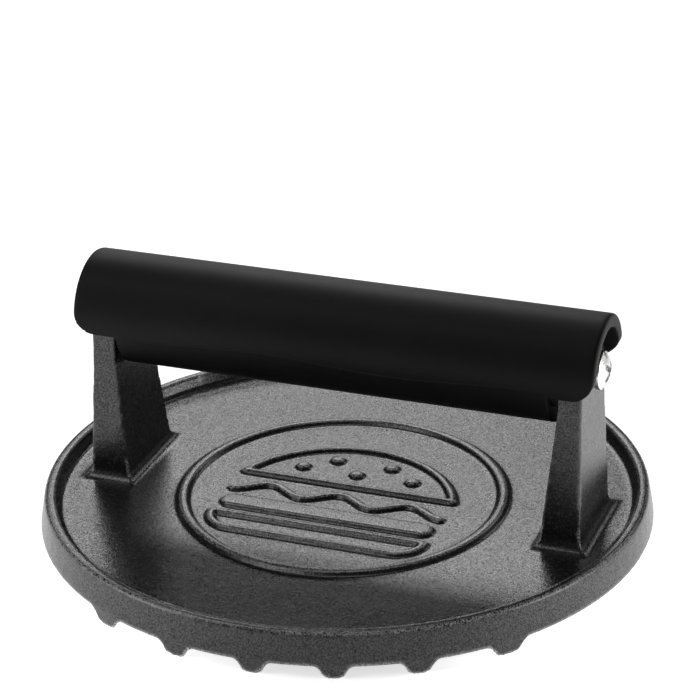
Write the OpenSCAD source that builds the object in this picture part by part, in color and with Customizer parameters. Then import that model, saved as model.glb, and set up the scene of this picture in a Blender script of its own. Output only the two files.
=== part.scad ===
// Round cast-iron patty press: a rimmed plate with ridges underneath, two cast posts,
// a steel handle core screwed between them, and a silicone grip over the core and the posts' tops.
// Millimetres. The origin is the plate's centre at the ridge crests, +X runs along the handle, +Z is up.

/* [Plate] */
// Outside diameter at the foot of the wall
plate_d = 178; // [172:1:190]
// Height of the plate's underside above the ridge crests
underside_z = 3.3; // [2.8:0.1:5]
// Height of the plate's upper face above the ridge crests
plate_top_z = 9.2; // [8:0.1:12]
// Height of the rim's top above the ridge crests
rim_top_z = 13.1; // [12.5:0.1:18]
// Inward lean of the outer wall, in degrees
wall_draft = 9.9; // [2:0.1:14]
// Lean of the rim's inner wall, in degrees
rim_draft = 20; // [5:1:30]
// Width of the rim at its top, over its rounded edges
rim_w = 3.4; // [2.8:0.1:5]
// Rounding of the rim's two upper edges
rim_round = 1.1; // [0.5:0.1:1.3]
// Rounding of the wall's lower edge
foot_round = 0.9; // [0.4:0.1:1.5]
// Radius of the hollow where the rim meets the plate
rim_hollow = 1.8; // [0.8:0.1:2.5]

/* [Ridges] */
// Number of parallel ridges under the plate
ridge_count = 6; // [4:2:8]
// Distance from one ridge to the next
ridge_pitch = 22; // [16:0.5:22]
// Width of a ridge where it leaves the plate
ridge_root_w = 9.4; // [8.8:0.1:12]
// Width of a ridge's flat crest
ridge_crest_w = 3.2; // [2:0.1:4]
// Rounding of a ridge's crest
ridge_round = 1.5; // [0.8:0.1:1.6]
// Turn of the ridges away from square to the handle, in degrees
ridge_turn = 10.7; // [0:0.1:45]

/* [Posts] */
// Distance from the centre to a post's outer face at the plate
post_outer_x = 74.5; // [73.5:0.1:75.5]
// Distance from the centre to a post's inner face at the plate
post_inner_x = 62.4; // [60:0.1:64]
// Depth of a post at the plate, front to back
post_foot_depth = 31; // [27:0.5:34]
// Radius of the hollow where a post meets the plate
post_hollow = 3.4; // [1:0.1:4]
// Distance from the centre to the outer face of a post's lug
lug_outer_x = 73.2; // [72:0.1:73.4]
// Distance from the centre to the inner face of a post's lug
lug_inner_x = 66.2; // [65.5:0.1:67.5]
// Radius of the round lug on top of a post
lug_r = 11.75; // [11:0.05:11.9]
// How far below the handle's axis a lug's upright faces start
lug_drop = 12; // [12:0.5:14]

/* [Handle] */
// Height of the handle's axis above the ridge crests
axis_z = 58.6; // [54:0.1:70]
// Outside diameter of the silicone grip
grip_d = 32; // [31:0.5:36]
// Length of the silicone grip over its two ends
grip_l = 154.6; // [153:0.2:158]
// Rounding of the grip's end edges
grip_edge = 0.9; // [0.4:0.1:1.5]
// Half length of the stretch where the grip is a full tube
grip_tube_x = 64.3; // [62:0.1:64.5]
// Radius of the pocket that fits over a post's lug
grip_pocket_r = 12.2; // [12.1:0.1:12.6]
// How far below the axis the grip's flaps reach over the posts
flap_drop = 2.3; // [1:0.1:6]
// How far the flaps' cut is turned about the axis, lower in front, in degrees
flap_turn = 3.5; // [0:0.5:5]
// Rounding of the flaps' lower corners at the grip's ends
flap_round = 7; // [3:0.5:8]
// Rounding of the corner where a flap meets the full tube
notch_round = 0.7; // [0.5:0.1:2]
// Outside diameter of the steel core tube
core_d = 23; // [22:0.5:23]
// Wall of the steel core tube
core_wall = 2; // [1.5:0.1:3]
// Length of each threaded plug in the core tube
plug_l = 20; // [16:1:26]

/* [Fasteners] */
// Nominal diameter of the handle screws
screw_d = 6; // [5:0.5:6]
// Length of a screw under its head
screw_l = 22; // [18:1:26]
// Diameter of a screw's pan head
head_d = 11; // [10:0.5:12]
// Height of a screw's pan head
head_h = 3.5; // [3:0.1:4]
// Height of the straight side of a screw's head
head_side_h = 1.4; // [1:0.1:2]
// Width of the cross recess
recess_w = 1.5; // [1:0.1:2]
// Span of the cross recess
recess_span = 6.6; // [5:0.1:7]
// Depth of the cross recess
recess_depth = 1.9; // [1.5:0.1:2.2]
// Thickness of the spring washer under each head
washer_t = 1.3; // [1:0.1:1.6]
// Outside diameter of the spring washer
washer_d = 10.2; // [9.5:0.1:10.5]
// Width of the split in the spring washer
washer_split = 1; // [0.5:0.1:1.5]

/* [Emblem] */
// Radius of the raised ring's centre line
emblem_ring_r = 46.5; // [42:0.5:50]
// Distance of the raised ring's centre in front of the plate's centre
emblem_forward = 3; // [0:0.5:4]
// Height of the raised lines above the plate
emblem_h = 1.2; // [0.6:0.1:1.4]
// Width of the raised ring at the plate
emblem_ring_w = 4; // [2:0.1:5]
// Width of the motif's raised lines at the plate
emblem_line_w = 3; // [2:0.1:4]

/* [Hidden] */
$fn = 96;

plate_r = plate_d / 2;
grip_r = grip_d / 2;
core_r = core_d / 2;
// Small overlap that joins one cast feature to the next
sink = 1;
// Play between pieces that slide into each other
play = 0.05;
// Clearance of the screw holes in the posts, on the radius
hole_play = 0.3;
// Length that is longer than any feature it cuts
past = 60;
// How far a ridge's root flares out beyond its flank
root_flare = 0.9;
// Width of a raised line's flat top, as a share of its width at the plate
bead_top = 0.48;
// Emblem's motif, measured from the ring's centre: the bun is an arc over a straight edge
motif_half_w = 32;
bun_edge_y = 4;
bun_top_y = 27;
seed_r = 1.9;
seed_places = [[-17, 12], [-8.5, 18.5], [0, 11.5], [8.5, 18.5], [17, 12]];
leaf_waves = 3;
leaf_wave_h = 2.5;
leaf_steps = 48;
leaf_y = -4.6;
leaf_line_w = 2.2;
patty_y = -14.6;
patty_h = 6.4;
heel_top_y = -22;
heel_round = 8;

// Points along an arc in the plane, both ends included
function arc(centre, r, from, to, steps) = [
    for (i = [0:steps])
        let (a = from + (to - from) * i / steps)
            centre + r * [cos(a), sin(a)]
];

// One side of a post's outline, from the plate upward, with a hollow at its foot.
// The side leans from foot_x at the plate to lug_x at lug_z, and then stands upright to top_z.
function post_side(foot_x, lug_x, lug_z, top_z) =
    let (
        lean = atan2(foot_x - lug_x, lug_z - plate_top_z),
        reach = cos(lean) * foot_x + sin(lean) * plate_top_z + post_hollow,
        hollow_z = plate_top_z + post_hollow,
        hollow_x = (reach - sin(lean) * hollow_z) / cos(lean)
    )
    concat(
        [[hollow_x, plate_top_z - sink]],
        arc([hollow_x, hollow_z], post_hollow, 270, 180 + lean, 5),
        [[lug_x, lug_z]],
        lug_z < top_z ? [[lug_x, top_z]] : []
    );

function flipped(points) = [for (i = [len(points) - 1:-1:0]) [-points[i].x, points[i].y]];

// One edge of the leaf's wavy line: its far edge from left to right, or its near edge back again
function leaf_edge(side) = [
    for (i = [0:leaf_steps])
        let (
            x = side * motif_half_w * (2 * i / leaf_steps - 1),
            turn = 180 * leaf_waves * x / motif_half_w,
            slope = -leaf_wave_h * sin(turn) * PI * leaf_waves / motif_half_w,
            across = [-slope, 1] / norm([1, slope])
        )
        [x, leaf_y + leaf_wave_h * cos(turn)] + side * leaf_line_w / 2 * across
];

// Turns +Z to point outward along the handle's axis, at distance x from the centre.
// side is 1 for the right end and -1 for the left.
module at_end(side, x) {
    translate([side * x, 0, axis_z]) rotate([0, side * 90, 0]) children();
}

// Section of the plate and its rim, from the axis outward
module plate_section() {
    foot = [plate_r - foot_round, underside_z + foot_round];
    outer = [cos(wall_draft), sin(wall_draft)];
    rim_edge_z = rim_top_z - rim_round;
    rim_x = (outer * foot + foot_round - rim_round - outer.y * rim_edge_z) / outer.x;
    lip = [rim_x - (rim_w - 2 * rim_round), rim_edge_z];
    inner = [-cos(rim_draft), sin(rim_draft)];
    hollow_z = plate_top_z + rim_hollow;
    hollow_x = (inner * lip + rim_round + rim_hollow - inner.y * hollow_z) / inner.x;
    polygon(concat(
        [[0, plate_top_z], [0, underside_z]],
        arc(foot, foot_round, -90, wall_draft, 4),
        arc([rim_x, rim_edge_z], rim_round, wall_draft, 90, 4),
        arc(lip, rim_round, 90, 180 - rim_draft, 4),
        arc([hollow_x, hollow_z], rim_hollow, -rim_draft, -90, 4)
    ));
}

// Section of a ridge below the plate, its flared root carried on into the plate
module ridge_section() {
    shoulder = [ridge_root_w / 2 - root_flare, underside_z - root_flare];
    half = concat(
        arc([ridge_crest_w / 2, ridge_round], ridge_round, -90, -20, 4),
        [shoulder, shoulder + (root_flare + sink) * [1, 1]]
    );
    polygon(concat(half, flipped(half)));
}

// Ridges across the whole plate, their ends just inside its wall
module ridges() {
    intersection() {
        cylinder(r = plate_r - 2 * play, h = underside_z + sink / 2);
        rotate([0, 0, ridge_turn])
            for (i = [0:ridge_count - 1])
                translate([(i - (ridge_count - 1) / 2) * ridge_pitch, plate_r, 0])
                    rotate([90, 0, 0])
                        linear_extrude(plate_d) ridge_section();
    }
}

// The right post: its front outline and its side outline, each run through and intersected
module post() {
    lug_z = axis_z - lug_drop;
    top_z = axis_z + lug_r;
    front = concat(
        post_side(post_outer_x, lug_outer_x, lug_z, top_z),
        flipped(post_side(-post_inner_x, -lug_inner_x, lug_z, top_z))
    );
    cheek = post_side(post_foot_depth / 2, lug_r, axis_z, axis_z);
    side = concat(cheek, arc([0, axis_z], lug_r, 10, 170, 16), flipped(cheek));
    intersection() {
        translate([0, past / 2, 0]) rotate([90, 0, 0]) linear_extrude(past) polygon(front);
        translate([past - sink, 0, 0]) rotate([90, 0, 90]) linear_extrude(past) polygon(side);
    }
}

// Section of a raised line, its sides carried on down into the plate
module bead_section(w) {
    top = [w * bead_top / 2, emblem_h];
    side = [w / 2 - top.x, -top.y];
    half = [top, top + side * (emblem_h + sink) / emblem_h];
    polygon(concat(half, flipped(half)));
}

// Raised line along an arc in the plate's plane
module bead_arc(centre, r, from, span, w) {
    translate(centre) rotate([0, 0, from])
        rotate_extrude(angle = span) translate([r, 0]) bead_section(w);
}

// Raised line along X
module bead_line(from_x, to_x, y, w) {
    translate([from_x, y, 0]) rotate([90, 0, 90])
        linear_extrude(to_x - from_x) bead_section(w);
}

// Round pad that closes a raised line's end, a hair lower than the line
module bead_end(place, w) {
    translate(concat(place, -sink))
        cylinder(d = w * (1 + bead_top) / 2, h = sink + emblem_h - play);
}

// A flat bar with round ends
module raised_bar(half_w, y, h) {
    translate([-half_w + h / 2, y - h / 2, -sink]) cube([2 * half_w - h, h, sink + emblem_h]);
    for (side = [-1, 1])
        translate([side * (half_w - h / 2), y, -sink]) cylinder(d = h, h = sink + emblem_h);
}

// A plain ring round a simple sandwich: bun with seeds, leaf, patty and heel
module emblem() {
    bun_h = bun_top_y - bun_edge_y;
    bun_r = (motif_half_w * motif_half_w + bun_h * bun_h) / (2 * bun_h);
    bun_y = bun_top_y - bun_r;
    bun_from = asin((bun_edge_y - bun_y) / bun_r);
    heel_x = motif_half_w - heel_round;
    translate([0, -emblem_forward, plate_top_z]) {
        rotate_extrude() translate([emblem_ring_r, 0]) bead_section(emblem_ring_w);
        bead_arc([0, bun_y, 0], bun_r, bun_from, 180 - 2 * bun_from, emblem_line_w);
        bead_line(-motif_half_w, motif_half_w, bun_edge_y, emblem_line_w);
        for (place = seed_places)
            translate(concat(place, -sink)) cylinder(r = seed_r, h = sink + emblem_h);
        translate([0, 0, -sink])
            linear_extrude(sink + emblem_h) polygon(concat(leaf_edge(1), leaf_edge(-1)));
        raised_bar(motif_half_w, patty_y, patty_h);
        bead_line(-motif_half_w, motif_half_w, heel_top_y, emblem_line_w);
        bead_line(-heel_x, heel_x, heel_top_y - heel_round, emblem_line_w);
        for (side = [-1, 1]) {
            bead_end([side * motif_half_w, bun_edge_y], emblem_line_w);
            bead_end([side * motif_half_w, heel_top_y], emblem_line_w);
            bead_end([side * motif_half_w, leaf_y - leaf_wave_h], leaf_line_w);
            bead_arc(
                [side * heel_x, heel_top_y, 0],
                heel_round, side < 0 ? 180 : 270, 90, emblem_line_w
            );
        }
    }
}

// Plate, rim, ridges, posts and emblem in one iron casting, drilled for the handle screws
module base_casting() {
    color("dimgray") difference() {
        union() {
            rotate_extrude() plate_section();
            ridges();
            post();
            mirror([1, 0, 0]) post();
            emblem();
        }
        for (side = [-1, 1])
            at_end(side, post_inner_x)
                cylinder(d = screw_d + 2 * hole_play, h = post_outer_x - post_inner_x);
    }
}

// Steel tube between the posts' inner faces
module core_tube() {
    color("silver") translate([-lug_inner_x, 0, axis_z]) rotate([0, 90, 0]) difference() {
        cylinder(r = core_r, h = 2 * lug_inner_x);
        translate([0, 0, -sink]) cylinder(r = core_r - core_wall, h = 2 * (lug_inner_x + sink));
    }
}

// Plug at one end of the tube, bored for the screw's thread
module core_plug(side) {
    color("silver") at_end(side, lug_inner_x - plug_l) difference() {
        cylinder(r = core_r - core_wall - play, h = plug_l);
        translate([0, 0, -sink]) cylinder(d = screw_d, h = plug_l + 2 * sink);
    }
}

// Pan head's half section, with a domed top
module head_section() {
    head_r = head_d / 2;
    dome_h = head_h - head_side_h;
    dome_r = (head_r * head_r + dome_h * dome_h) / (2 * dome_h);
    dome_angle = asin(head_r / dome_r);
    polygon(concat(
        [[0, 0], [head_r, 0]],
        arc([0, head_h - dome_r], dome_r, 90 - dome_angle, 90, 6)
    ));
}

// Pan-head screw with a cross recess, its head outside the post and its shank in the plug
module screw(side) {
    color("gainsboro") at_end(side, lug_outer_x + washer_t) {
        difference() {
            rotate_extrude() head_section();
            for (turn = [0, 90])
                rotate([0, 0, turn + 45])
                    translate([-recess_span / 2, -recess_w / 2, head_h - recess_depth])
                        cube([recess_span, recess_w, recess_depth + sink]);
        }
        translate([0, 0, -screw_l]) cylinder(d = screw_d - 2 * play, h = screw_l + sink / 2);
    }
}

// Spring washer between the post and the screw's head, with its slanting split
module spring_washer(side) {
    color("silver") at_end(side, lug_outer_x) difference() {
        cylinder(d = washer_d, h = washer_t);
        translate([0, 0, -sink]) cylinder(d = screw_d + 4 * play, h = washer_t + 2 * sink);
        translate([0, -washer_split / 2, washer_t / 2])
            rotate([20, 0, 0])
                translate([0, 0, -past / 2]) cube([past, washer_split, past]);
    }
}

// Half section of the grip before it is bored, along the handle's axis
module grip_body_section() {
    half_l = grip_l / 2;
    polygon(concat(
        [[0, -half_l]],
        arc([grip_r - grip_edge, grip_edge - half_l], grip_edge, -90, 0, 4),
        arc([grip_r - grip_edge, half_l - grip_edge], grip_edge, 0, 90, 4),
        [[0, half_l]]
    ));
}

// What is cut away below a flap, seen from the front and measured from the handle's axis:
// all below the flap's edge, with rounded corners
module flap_cut_outline() {
    flap_z = -flap_drop;
    corner = [grip_l / 2 - flap_round, flap_z + flap_round];
    below_z = -grip_r - sink;
    difference() {
        translate([grip_tube_x, below_z]) square([past, flap_z - below_z]);
        difference() {
            translate([grip_tube_x - sink, flap_z - notch_round])
                square([notch_round + sink, notch_round + sink]);
            translate([grip_tube_x + notch_round, flap_z - notch_round]) circle(r = notch_round);
        }
    }
    difference() {
        translate([corner.x, flap_z - sink]) square([past, flap_round + sink]);
        translate(corner) circle(r = flap_round);
    }
}

// Tube over the core, opened underneath at each end to clip down over a post's lug
module silicone_grip() {
    color([0.06, 0.06, 0.065]) difference() {
        translate([0, 0, axis_z]) rotate([0, 90, 0]) rotate_extrude() grip_body_section();
        translate([-grip_l / 2 - sink, 0, axis_z]) rotate([0, 90, 0])
            cylinder(r = core_r + play, h = grip_l + 2 * sink);
        for (side = [-1, 1]) {
            at_end(side, grip_tube_x) cylinder(r = grip_pocket_r, h = past);
            mirror([side < 0 ? 1 : 0, 0, 0]) {
                translate([grip_tube_x, -grip_pocket_r, axis_z - flap_drop - 2 * sink])
                    cube([past, 2 * grip_pocket_r, flap_drop + 2 * sink]);
                translate([0, 0, axis_z])
                    rotate([90 + flap_turn, 0, 0])
                        linear_extrude(past, center = true) flap_cut_outline();
            }
        }
    }
}

base_casting();
core_tube();
core_plug(-1);  // core_plug_left
core_plug(1);  // core_plug_right
screw(-1);  // screw_left
screw(1);  // screw_right
spring_washer(-1);  // spring_washer_left
spring_washer(1);  // spring_washer_right
silicone_grip();
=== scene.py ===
import math

import bmesh
import bpy
from mathutils import Matrix, Vector


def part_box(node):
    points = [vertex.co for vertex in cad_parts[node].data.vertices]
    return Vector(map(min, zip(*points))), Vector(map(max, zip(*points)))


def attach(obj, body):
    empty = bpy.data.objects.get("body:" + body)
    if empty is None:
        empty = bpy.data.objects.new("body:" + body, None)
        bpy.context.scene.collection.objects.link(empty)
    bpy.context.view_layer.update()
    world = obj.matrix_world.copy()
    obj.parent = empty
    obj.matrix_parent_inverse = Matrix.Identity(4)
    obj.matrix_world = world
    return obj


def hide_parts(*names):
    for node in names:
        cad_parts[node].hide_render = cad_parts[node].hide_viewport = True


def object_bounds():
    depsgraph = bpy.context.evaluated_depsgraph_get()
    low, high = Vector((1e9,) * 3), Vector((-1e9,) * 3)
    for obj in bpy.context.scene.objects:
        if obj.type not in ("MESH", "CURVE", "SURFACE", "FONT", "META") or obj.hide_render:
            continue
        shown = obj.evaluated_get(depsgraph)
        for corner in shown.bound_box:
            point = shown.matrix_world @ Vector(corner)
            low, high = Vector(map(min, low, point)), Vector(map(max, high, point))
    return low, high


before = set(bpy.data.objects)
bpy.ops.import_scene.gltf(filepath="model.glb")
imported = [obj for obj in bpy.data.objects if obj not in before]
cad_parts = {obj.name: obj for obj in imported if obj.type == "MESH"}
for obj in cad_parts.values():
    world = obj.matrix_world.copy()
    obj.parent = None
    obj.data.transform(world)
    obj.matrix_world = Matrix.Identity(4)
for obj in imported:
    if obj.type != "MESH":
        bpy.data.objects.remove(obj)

cad_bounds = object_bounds()
MM = 0.001

# Camera: its lens, where it stands round the object in degrees, how far off, and what it aims at
LENS_MM = 135.86
SENSOR_MM = 36
CAMERA_AZIMUTH = 20.606
CAMERA_ELEVATION = 24.882
CAMERA_ROLL = -1.118
CAMERA_DISTANCE = 0.75018
CAMERA_AIM = Vector((0.00177, 0, 0.05414))

# The dim room's brightness
ROOM_GLOW = 0.03
# How brightly the light table glows, and how much more it does towards two sides: degrees round
# from straight behind, and brightness. The power narrows each side's share.
TABLE_GLOW = 0.6
SIDE_GLOWS = ((-125, 0.9), (125, 0.55))
SIDE_POWER = 6
# The light table's radius, and how far it lies below the ridge crests
TABLE_R = 6
TABLE_GAP = 0.02 * MM
# Lights: degrees round from straight behind, elevation in degrees, and brightness
STRIP_LIGHTS = (
    (0, 18, 3.5),
    (0, 34, 7.2),
    (0, 42, 3.0),
    (21, 34, 4.8),
    (-42, 34, 3.6),
    (0, 80, 4.6),
)
SOFTBOXES = (
    (-72, 16, 0.9),
    (-105, 16, 4.8),
    (105, 16, 3.9),
    (105, 36, 0.8),
    (105, 60, 3.0),
    (180, 28, 0.3),
)
LIGHT_DISTANCE = 1.4
STRIP_SIZE = (0.5, 0.2)
SOFTBOX_SIZE = (0.6, 0.6)

# The casting: the grid it is evened out on, how often it is smoothed, about how many triangles
# it keeps, and how wide and high its unevenness is
CASTING_VOXEL = 0.5 * MM
CASTING_PASSES = 2
CASTING_TRIANGLES = 190000
LUMP_SIZE = 2.5 * MM
LUMP_HEIGHT = 0.05 * MM
# The grip: the same, how near its ends the roundings start, how far a vertex of the outer face
# may be off the true cylinder, and the angle from which an edge is drawn sharp
GRIP_VOXEL = 0.45 * MM
GRIP_PASSES = 1
GRIP_TRIANGLES = 150000
GRIP_END_ROUNDING = 1.1 * MM
GRIP_FACE_PLAY = 0.3 * MM
GRIP_SHARP_ANGLE = math.radians(32)
# The screws and washers: the same
SMALL_VOXEL = 0.14 * MM
SMALL_PASSES = 2
# The grip's parting line: how far below the axis it runs and how far it wanders about that, in
# degrees, the wander's wavelength and shift, half the line's own length in millimetres, and its
# section in millimetres across and outward
SEAM_ANGLE = 9.5
SEAM_WANDER = 3.2
SEAM_WAVE = 76 * MM
SEAM_SHIFT = 1 * MM
SEAM_HALF_L = 62
SEAM_SECTION = ((-0.4, -0.2), (-0.4, 0.0), (-0.15, 0.13), (0.15, 0.13), (0.4, 0.0), (0.4, -0.2))

# The handle's axis and the grip's own sizes, from the CAD node's box
grip_low, grip_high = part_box("silicone_grip")
grip_r = grip_high.y
axis_z = grip_high.z - grip_r
grip_half_l = grip_high.x


def azimuth_direction(azimuth, elevation):
    """The unit direction that many degrees round from straight behind, at that elevation."""
    a, e = math.radians(180 + CAMERA_AZIMUTH + azimuth), math.radians(elevation)
    return Vector((math.sin(a) * math.cos(e), -math.cos(a) * math.cos(e), math.sin(e)))


# ---------------------------------------------------------------- meshes

def shade_smooth(mesh):
    """Shades every face of a mesh smooth."""
    for polygon in mesh.polygons:
        polygon.use_smooth = True


def mesh_object(name, bm):
    """A new object from a bmesh, smooth shaded."""
    mesh = bpy.data.meshes.new(name)
    bm.to_mesh(mesh)
    bm.free()
    shade_smooth(mesh)
    piece = bpy.data.objects.new(name, mesh)
    bpy.context.scene.collection.objects.link(piece)
    return piece


def copy_of_node(name, node):
    """A copy of a CAD node's mesh in an object of its own, with its split edges joined."""
    bm = bmesh.new()
    bm.from_mesh(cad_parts[node].data)
    bmesh.ops.remove_doubles(bm, verts=bm.verts, dist=0.001 * MM)
    return mesh_object(name, bm)


def settle(piece):
    """Applies a piece's modifiers to its mesh."""
    bpy.context.view_layer.update()
    evaluated = piece.evaluated_get(bpy.context.evaluated_depsgraph_get())
    mesh = bpy.data.meshes.new_from_object(evaluated)
    piece.modifiers.clear()
    piece.data = mesh
    shade_smooth(mesh)


def remesh(piece, voxel, passes):
    """Evens out a mesh and rounds its edges, as a casting's or a moulding's are."""
    modifier = piece.modifiers.new("even", "REMESH")
    modifier.mode = "VOXEL"
    modifier.voxel_size = voxel
    modifier = piece.modifiers.new("round", "SMOOTH")
    modifier.factor = 0.5
    modifier.iterations = passes
    settle(piece)


def roughen(piece, size, height):
    """Moves a surface in and out by a soft noise of that size."""
    texture = bpy.data.textures.new("unevenness", "CLOUDS")
    texture.noise_scale = size
    texture.noise_depth = 2
    modifier = piece.modifiers.new("uneven", "DISPLACE")
    modifier.texture = texture
    modifier.texture_coords = "LOCAL"
    modifier.strength = height
    modifier.mid_level = 0.5


def thin_out(piece, triangles):
    """Brings a mesh down to about that many triangles."""
    faces = sum(len(polygon.vertices) - 2 for polygon in piece.data.polygons)
    modifier = piece.modifiers.new("thin", "DECIMATE")
    modifier.ratio = min(1, triangles / faces)


def keep_inside(piece, low, high):
    """Holds every vertex inside a box."""
    for vertex in piece.data.vertices:
        vertex.co = [min(max(c, a), b) for c, a, b in zip(vertex.co, low, high)]


# ---------------------------------------------------------------- materials

class Shader:
    """A material's node tree, built by short calls."""

    def __init__(self, name, **values):
        self.material = bpy.data.materials.new(name)
        self.material.use_nodes = True
        self.tree = self.material.node_tree
        self.main = self.tree.nodes["Principled BSDF"]
        self.place = self.tree.nodes.new("ShaderNodeTexCoord").outputs["Object"]
        for socket, value in values.items():
            self.main.inputs[socket.replace("_", " ")].default_value = value

    def noise(self, size, detail, roughness=0.55, distortion=0.0):
        """Noise with features of about that size in metres."""
        node = self.tree.nodes.new("ShaderNodeTexNoise")
        self.tree.links.new(self.place, node.inputs["Vector"])
        node.inputs["Scale"].default_value = 1 / size
        node.inputs["Detail"].default_value = detail
        node.inputs["Roughness"].default_value = roughness
        node.inputs["Distortion"].default_value = distortion
        return node.outputs["Fac"]

    def ramp(self, source, *stops):
        """Greys at two places along a value from 0 to 1."""
        node = self.tree.nodes.new("ShaderNodeValToRGB")
        self.tree.links.new(source, node.inputs["Fac"])
        for element, (place, grey) in zip(node.color_ramp.elements, stops):
            element.position = place
            element.color = (grey, grey, grey, 1)
        return node.outputs["Color"]

    def scaled(self, source, low, high, low_out, high_out):
        """A value moved from one range to another."""
        node = self.tree.nodes.new("ShaderNodeMapRange")
        self.tree.links.new(source, node.inputs["Value"])
        node.inputs["From Min"].default_value = low
        node.inputs["From Max"].default_value = high
        node.inputs["To Min"].default_value = low_out
        node.inputs["To Max"].default_value = high_out
        return node.outputs["Result"]

    def combined(self, operation, a, b):
        """Two values, or a value and a number, through one math operation."""
        node = self.tree.nodes.new("ShaderNodeMath")
        node.operation = operation
        for socket, value in zip(node.inputs, (a, b)):
            if hasattr(value, "is_output"):
                self.tree.links.new(value, socket)
            else:
                socket.default_value = value
        return node.outputs["Value"]

    def mixed(self, share, a, b):
        """Two colours mixed by a value."""
        node = self.tree.nodes.new("ShaderNodeMix")
        node.data_type = "RGBA"
        self.tree.links.new(share, node.inputs["Factor"])
        for socket, value in ((node.inputs[6], a), (node.inputs[7], b)):
            if hasattr(value, "is_output"):
                self.tree.links.new(value, socket)
            else:
                socket.default_value = (*value, 1)
        return node.outputs[2]

    def edges(self, low, high):
        """0 on flat stretches, rising to 1 on outward edges between two pointiness values."""
        pointiness = self.tree.nodes.new("ShaderNodeNewGeometry").outputs["Pointiness"]
        return self.scaled(pointiness, low, high, 0, 1)

    def height(self):
        """How high a place is, in metres."""
        node = self.tree.nodes.new("ShaderNodeSeparateXYZ")
        self.tree.links.new(self.place, node.inputs["Vector"])
        return node.outputs["Z"]

    def towards(self, direction):
        """How far a place lies towards a direction, as the cosine of the angle between them."""
        outward = self.tree.nodes.new("ShaderNodeVectorMath")
        outward.operation = "NORMALIZE"
        self.tree.links.new(self.place, outward.inputs[0])
        cosine = self.tree.nodes.new("ShaderNodeVectorMath")
        cosine.operation = "DOT_PRODUCT"
        self.tree.links.new(outward.outputs["Vector"], cosine.inputs[0])
        cosine.inputs[1].default_value = direction
        return cosine.outputs["Value"]

    def connect(self, source, socket):
        """Drives one of the shader's own sockets."""
        self.tree.links.new(source, self.main.inputs[socket])

    def bump(self, *layers):
        """Bump from heights, each with its depth in metres, one on top of the other."""
        normal = None
        for height, depth in layers:
            node = self.tree.nodes.new("ShaderNodeBump")
            node.inputs["Strength"].default_value = 1
            node.inputs["Distance"].default_value = depth
            self.tree.links.new(height, node.inputs["Height"])
            if normal:
                self.tree.links.new(normal, node.inputs["Normal"])
            normal = node.outputs["Normal"]
        self.connect(normal, "Normal")


def cast_iron():
    """Seasoned iron with a sand-cast grain: dark under its oil, with painted highlights in
    bright specks on low outward edges.
    """
    shader = Shader("cast_iron", IOR=1.5)
    grain = shader.noise(0.9 * MM, 3, 0.6)
    fine = shader.noise(0.45 * MM, 2)
    patches = shader.noise(16 * MM, 3)
    dark = shader.ramp(patches, (0.3, 0.006), (0.7, 0.01))
    worn = shader.ramp(grain, (0.5, 0.008), (0.72, 0.05))
    oiled = shader.mixed(shader.scaled(fine, 0.4, 0.7, 0.1, 0.8), dark, worn)
    # Painted highlight: outward edges are painted light grey in fine specks as glints, held
    # below the posts by a height mask
    glint_specks = shader.scaled(fine, 0.4, 0.56, 0, 1)
    glint_height_mask = shader.scaled(shader.height(), 14 * MM, 17 * MM, 1, 0.12)
    painted_glint = shader.combined("MULTIPLY", shader.edges(0.51, 0.54), glint_specks)
    painted_glint = shader.combined("MULTIPLY", painted_glint, glint_height_mask)
    shader.connect(shader.mixed(painted_glint, oiled, (0.5, 0.5, 0.5)), "Base Color")
    shader.connect(shader.scaled(fine, 0.35, 0.65, 0.85, 0.2), "Specular IOR Level")
    shader.connect(shader.scaled(grain, 0.3, 0.7, 0.2, 0.3), "Roughness")
    shader.bump((grain, 0.045 * MM), (fine, 0.02 * MM))
    return shader.material


def silicone():
    """Matt black rubber with a faint grain."""
    shader = Shader("silicone", IOR=1.41, Specular_IOR_Level=0.19)
    fine = shader.noise(0.25 * MM, 2)
    broad = shader.noise(22 * MM, 2)
    shader.connect(shader.ramp(broad, (0.3, 0.0015), (0.7, 0.003)), "Base Color")
    shader.connect(shader.scaled(fine, 0.3, 0.7, 0.48, 0.56), "Roughness")
    shader.bump((fine, 0.015 * MM))
    return shader.material


def steel(name, colour, low, high):
    """Drawn or rolled steel with faint marks and a little unevenness in its polish."""
    shader = Shader(name, Metallic=1.0)
    marks = shader.noise(0.4 * MM, 4, 0.7, 1.5)
    broad = shader.noise(5 * MM, 2)
    dark = tuple(0.8 * c for c in colour)
    shader.connect(shader.mixed(broad, dark, colour), "Base Color")
    shader.connect(shader.scaled(marks, 0.3, 0.7, low, high), "Roughness")
    shader.bump((marks, 0.01 * MM))
    return shader.material


def floor_paint():
    """A white light table that glows by itself, more so on both sides of the camera."""
    shader = Shader("floor_paint", Roughness=0.75)
    broad = shader.noise(300 * MM, 2)
    shader.connect(shader.ramp(broad, (0.3, 0.86), (0.7, 0.88)), "Base Color")
    glow = TABLE_GLOW
    for side, brightness in SIDE_GLOWS:
        towards = shader.towards(azimuth_direction(side, 0))
        lobe = shader.combined("POWER", shader.combined("MAXIMUM", towards, 0), SIDE_POWER)
        glow = shader.combined("ADD", shader.combined("MULTIPLY", lobe, brightness), glow)
    shader.connect(glow, "Emission Strength")
    shader.main.inputs["Emission Color"].default_value = (1, 1, 1, 1)
    return shader.material


def dress(piece, material):
    """Gives a piece its material."""
    piece.data.materials.clear()
    piece.data.materials.append(material)


# ---------------------------------------------------------------- pieces

def cast_base():
    """The casting with eased edges and a slightly uneven skin."""
    piece = copy_of_node("cast_base", "base_casting")
    low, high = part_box("base_casting")
    remesh(piece, CASTING_VOXEL, CASTING_PASSES)
    roughen(piece, LUMP_SIZE, LUMP_HEIGHT)
    thin_out(piece, CASTING_TRIANGLES)
    settle(piece)
    keep_inside(piece, low, high)
    return piece


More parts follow.
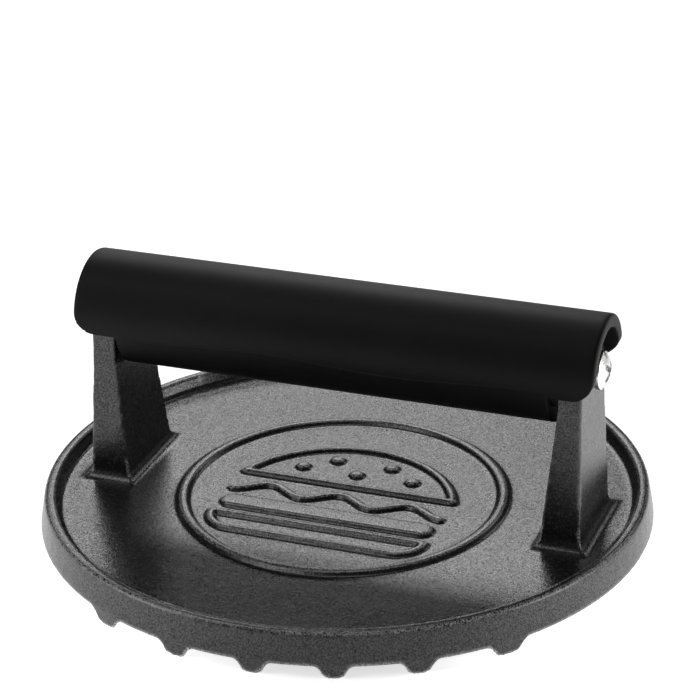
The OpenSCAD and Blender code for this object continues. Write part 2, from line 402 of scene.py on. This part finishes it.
def seam_angle(x):
    """How far below the axis, in radians, the grip's wandering parting line lies."""
    wander = SEAM_WANDER * math.sin(math.tau * (x + SEAM_SHIFT) / SEAM_WAVE)
    return math.radians(SEAM_ANGLE + wander)


def add_seam(bm, side):
    """The thin raised line that the mould's halves leave along one side of the grip."""
    loops = []
    for step in range(-SEAM_HALF_L, SEAM_HALF_L + 1):
        x = step * MM
        loop = []
        for across, height in SEAM_SECTION:
            angle = seam_angle(x) + across * MM / grip_r
            r = grip_r + height * MM
            place = (x, side * r * math.cos(angle), axis_z - r * math.sin(angle))
            loop.append(bm.verts.new(place))
        loops.append(loop)
    for first, second in zip(loops, loops[1:]):
        for i in range(len(SEAM_SECTION)):
            k = (i + 1) % len(SEAM_SECTION)
            bm.faces.new((first[i], first[k], second[k], second[i]))
    bm.faces.new(loops[0])
    bm.faces.new(reversed(loops[-1]))


def grip():
    """The grip with eased edges, a true outer cylinder and a parting line on both sides."""
    piece = copy_of_node("grip", "silicone_grip")
    remesh(piece, GRIP_VOXEL, GRIP_PASSES)
    thin_out(piece, GRIP_TRIANGLES)
    settle(piece)
    for vertex in piece.data.vertices:
        x, y, z = vertex.co.x, vertex.co.y, vertex.co.z - axis_z
        r = math.hypot(y, z)
        if abs(x) < grip_half_l - GRIP_END_ROUNDING and r > grip_r - GRIP_FACE_PLAY:
            vertex.co.y, vertex.co.z = y * grip_r / r, axis_z + z * grip_r / r
    bm = bmesh.new()
    bm.from_mesh(piece.data)
    for side in (-1, 1):
        add_seam(bm, side)
    bmesh.ops.recalc_face_normals(bm, faces=bm.faces)
    bm.to_mesh(piece.data)
    bm.free()
    shade_smooth(piece.data)
    piece.data.set_sharp_from_angle(angle=GRIP_SHARP_ANGLE)
    keep_inside(piece, grip_low, grip_high)
    return piece


def small_part(node):
    """A screw or a washer with its edges eased."""
    piece = copy_of_node(node + "_piece", node)
    remesh(piece, SMALL_VOXEL, SMALL_PASSES)
    keep_inside(piece, *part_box(node))
    return piece


iron = cast_iron()
rubber = silicone()
bright = steel("screw_steel", (0.8, 0.8, 0.79), 0.2, 0.34)
spring = steel("washer_steel", (0.55, 0.55, 0.56), 0.28, 0.42)
tube_steel = steel("core_steel", (0.6, 0.6, 0.6), 0.25, 0.4)
plug_steel = steel("plug_steel", (0.5, 0.5, 0.5), 0.32, 0.5)

base = cast_base()
dress(base, iron)
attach(base, "root")
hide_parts("base_casting")

sleeve = grip()
dress(sleeve, rubber)
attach(sleeve, "root")
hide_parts("silicone_grip")

for node, material, slot in (
    ("screw_left", bright, "screw_steel"),
    ("screw_right", bright, "screw_steel"),
    ("spring_washer_left", spring, "washer_steel"),
    ("spring_washer_right", spring, "washer_steel"),
):
    part = small_part(node)
    dress(part, material)
    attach(part, "root")
    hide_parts(node)

for node, material in (
    ("core_tube", tube_steel),
    ("core_plug_left", plug_steel),
    ("core_plug_right", plug_steel),
):
    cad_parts[node].data.materials.clear()
    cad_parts[node].data.materials.append(material)


# ---------------------------------------------------------------- studio

def add_floor():
    """The light table, a disc just below the ridge crests."""
    bm = bmesh.new()
    bmesh.ops.create_circle(bm, cap_ends=True, segments=64, radius=TABLE_R)
    floor = mesh_object("floor", bm)
    floor.location.z = cad_bounds[0].z - TABLE_GAP
    floor.data.materials.append(floor_paint())


def add_light(size, azimuth, elevation, brightness):
    """A soft rectangular light that faces the object."""
    light = bpy.data.lights.new("softbox", "AREA")
    light.shape = "RECTANGLE"
    light.size, light.size_y = size
    light.energy = brightness * math.pi * size[0] * size[1]
    back = azimuth_direction(azimuth, elevation)
    lamp = bpy.data.objects.new("softbox", light)
    lamp.rotation_mode = "QUATERNION"
    lamp.rotation_quaternion = back.to_track_quat("Z", "Y")
    lamp.location = Vector((0, 0, axis_z / 2)) + back * LIGHT_DISTANCE
    bpy.context.scene.collection.objects.link(lamp)


def add_world():
    """A dim, even room."""
    world = bpy.data.worlds.new("studio")
    world.use_nodes = True
    background = world.node_tree.nodes["Background"]
    background.inputs["Color"].default_value = (1, 1, 1, 1)
    background.inputs["Strength"].default_value = ROOM_GLOW
    bpy.context.scene.world = world


def add_camera():
    """The camera, rolled a little about the line of sight."""
    roll = math.radians(CAMERA_ROLL)
    back = azimuth_direction(180, CAMERA_ELEVATION)
    level = back.cross(Vector((0, 0, -1))).normalized()
    upright = back.cross(level)
    right = math.cos(roll) * level + math.sin(roll) * upright
    up = math.cos(roll) * upright - math.sin(roll) * level
    data = bpy.data.cameras.new("camera")
    data.lens = LENS_MM
    data.sensor_width = SENSOR_MM
    camera = bpy.data.objects.new("camera", data)
    place = Matrix((right, up, back)).transposed().to_4x4()
    place.translation = CAMERA_AIM + back * CAMERA_DISTANCE
    camera.matrix_world = place
    bpy.context.scene.collection.objects.link(camera)
    bpy.context.scene.camera = camera


add_floor()
add_world()
for strip in STRIP_LIGHTS:
    add_light(STRIP_SIZE, *strip)
for softbox in SOFTBOXES:
    add_light(SOFTBOX_SIZE, *softbox)
add_camera()
bpy.context.scene.view_settings.view_transform = "Standard"
